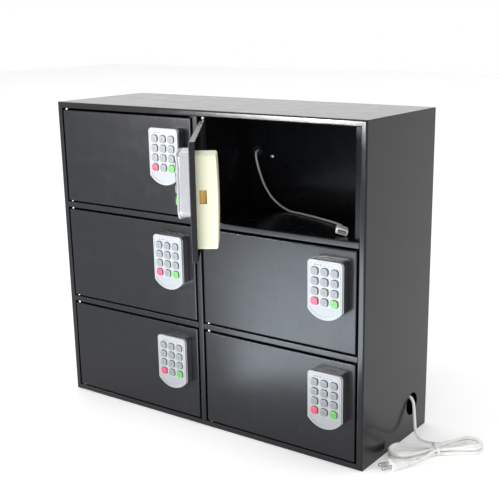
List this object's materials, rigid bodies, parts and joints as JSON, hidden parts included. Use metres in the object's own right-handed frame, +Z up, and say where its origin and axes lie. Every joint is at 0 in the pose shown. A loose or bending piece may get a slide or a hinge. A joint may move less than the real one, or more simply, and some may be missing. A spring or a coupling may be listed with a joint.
{
  "type": "phone charging locker",
  "caption": "Countertop phone charging locker: charcoal steel cabinet of hinged doors with keypad locks, a door ajar, USB lead inside and a white mains lead hanked at the side.",
  "frame": {"origin": "middle of the cabinet's base, at its underside", "axes": "+X to the right seen from the front, +Y to the back, +Z up"},
  "size_m": [0.7256, 0.4364, 0.52],
  "materials": {
    "charcoal_coat": "semi-gloss powder coat",
    "zinc_steel": "bright zinc plate",
    "black_rubber": "moulded",
    "black_plastic": "fine texture",
    "white_plastic": "moulded",
    "white_cable": "soft moulded jacket",
    "satin_chrome": "satin",
    "keypad_white": "moulded",
    "key_grey": "moulded rubber mat with hard caps",
    "ivory_plastic": "moulded",
    "brass": "satin",
    "electronics": "cells, motor and board together"
  },
  "bodies": {
    "cabinet": {"case_wrap": "charcoal_coat", "centre_divider": "charcoal_coat", "door_stops": "charcoal_coat", "shelves": "charcoal_coat", "inner_back_panel": "charcoal_coat", "rear_cover": "charcoal_coat", "panel_screws": "zinc_steel", "hinge_pins": "zinc_steel", "cable_grommets": "black_rubber", "usb_charger": "black_plastic", "charger_bracket": "charcoal_coat", "usb_plug": "white_plastic", "usb_cable": "white_cable", "usb_socket": "white_plastic", "mains_lead": "white_cable", "cord_hank": "white_cable", "cord_tie": "white_plastic", "mains_plug": "white_cable"},
    "door_1": {"door_panel_1": "charcoal_coat", "lock_housing_1": "satin_chrome", "keypad_face_1": "keypad_white", "lock_case_1": "ivory_plastic", "lock_internals_1": "electronics"},
    "door_2": {"door_panel_2": "charcoal_coat", "lock_housing_2": "satin_chrome", "keypad_face_2": "keypad_white", "lock_case_2": "ivory_plastic", "lock_internals_2": "electronics"},
    "door_3": {"door_panel_3": "charcoal_coat", "lock_housing_3": "satin_chrome", "keypad_face_3": "keypad_white", "lock_case_3": "ivory_plastic", "lock_internals_3": "electronics"},
    "door_4": {"door_panel_4": "charcoal_coat", "lock_housing_4": "satin_chrome", "keypad_face_4": "keypad_white", "lock_case_4": "ivory_plastic", "lock_internals_4": "electronics"},
    "door_5": {"door_panel_5": "charcoal_coat", "lock_housing_5": "satin_chrome", "keypad_face_5": "keypad_white", "lock_case_5": "ivory_plastic", "lock_internals_5": "electronics"},
    "door_6": {"door_panel_6": "charcoal_coat", "lock_housing_6": "satin_chrome", "keypad_face_6": "keypad_white", "lock_case_6": "ivory_plastic", "lock_internals_6": "electronics"},
    "bolt_1": {"lock_bolt_1": "brass"},
    "bolt_2": {"lock_bolt_2": "brass"},
    "bolt_3": {"lock_bolt_3": "brass"},
    "bolt_4": {"lock_bolt_4": "brass"},
    "bolt_5": {"lock_bolt_5": "brass"},
    "bolt_6": {"lock_bolt_6": "brass"},
    "keys_1": {"keypad_keys_1": "key_grey"},
    "keys_2": {"keypad_keys_2": "key_grey"},
    "keys_3": {"keypad_keys_3": "key_grey"},
    "keys_4": {"keypad_keys_4": "key_grey"},
    "keys_5": {"keypad_keys_5": "key_grey"},
    "keys_6": {"keypad_keys_6": "key_grey"}
  },
  "joints": [
    {"name": "door_1_hinge", "type": "hinge", "parent": "cabinet", "child": "door_1", "pos_m": [-0.2815, -0.1025, 0.43], "axis": [0, 0, -1], "range_deg": [0, 110]},
    {"name": "door_2_hinge", "type": "hinge", "parent": "cabinet", "child": "door_2", "pos_m": [-0.2815, -0.1025, 0.26], "axis": [0, 0, -1], "range_deg": [0, 110]},
    {"name": "door_3_hinge", "type": "hinge", "parent": "cabinet", "child": "door_3", "pos_m": [-0.2815, -0.1025, 0.09], "axis": [0, 0, -1], "range_deg": [0, 110]},
    {"name": "door_4_hinge", "type": "hinge", "parent": "cabinet", "child": "door_4", "pos_m": [0.0135, -0.1025, 0.43], "axis": [0, 0, -1], "range_deg": [-54, 56]},
    {"name": "door_5_hinge", "type": "hinge", "parent": "cabinet", "child": "door_5", "pos_m": [0.0135, -0.1025, 0.26], "axis": [0, 0, -1], "range_deg": [0, 110]},
    {"name": "door_6_hinge", "type": "hinge", "parent": "cabinet", "child": "door_6", "pos_m": [0.0135, -0.1025, 0.09], "axis": [0, 0, -1], "range_deg": [0, 110]},
    {"name": "bolt_1_slide", "type": "slide", "parent": "door_1", "child": "bolt_1", "axis": [1, 0, 0], "range_m": [0, 0.01]},
    {"name": "bolt_2_slide", "type": "slide", "parent": "door_2", "child": "bolt_2", "axis": [1, 0, 0], "range_m": [0, 0.01]},
    {"name": "bolt_3_slide", "type": "slide", "parent": "door_3", "child": "bolt_3", "axis": [1, 0, 0], "range_m": [0, 0.01]},
    {"name": "bolt_4_slide", "type": "slide", "parent": "door_4", "child": "bolt_4", "axis": [0.5878, -0.809, 0], "range_m": [0, 0.01]},
    {"name": "bolt_5_slide", "type": "slide", "parent": "door_5", "child": "bolt_5", "axis": [1, 0, 0], "range_m": [0, 0.01]},
    {"name": "bolt_6_slide", "type": "slide", "parent": "door_6", "child": "bolt_6", "axis": [1, 0, 0], "range_m": [0, 0.01]},
    {"name": "keypad_1_press", "type": "slide", "parent": "door_1", "child": "keys_1", "axis": [0, 1, 0], "range_m": [0, 0.001], "stiffness_N_per_m": 800},
    {"name": "keypad_2_press", "type": "slide", "parent": "door_2", "child": "keys_2", "axis": [0, 1, 0], "range_m": [0, 0.001], "stiffness_N_per_m": 800},
    {"name": "keypad_3_press", "type": "slide", "parent": "door_3", "child": "keys_3", "axis": [0, 1, 0], "range_m": [0, 0.001], "stiffness_N_per_m": 800},
    {"name": "keypad_4_press", "type": "slide", "parent": "door_4", "child": "keys_4", "axis": [0.809, 0.5878, 0], "range_m": [0, 0.001], "stiffness_N_per_m": 800},
    {"name": "keypad_5_press", "type": "slide", "parent": "door_5", "child": "keys_5", "axis": [0, 1, 0], "range_m": [0, 0.001], "stiffness_N_per_m": 800},
    {"name": "keypad_6_press", "type": "slide", "parent": "door_6", "child": "keys_6", "axis": [0, 1, 0], "range_m": [0, 0.001], "stiffness_N_per_m": 800}
  ]
}
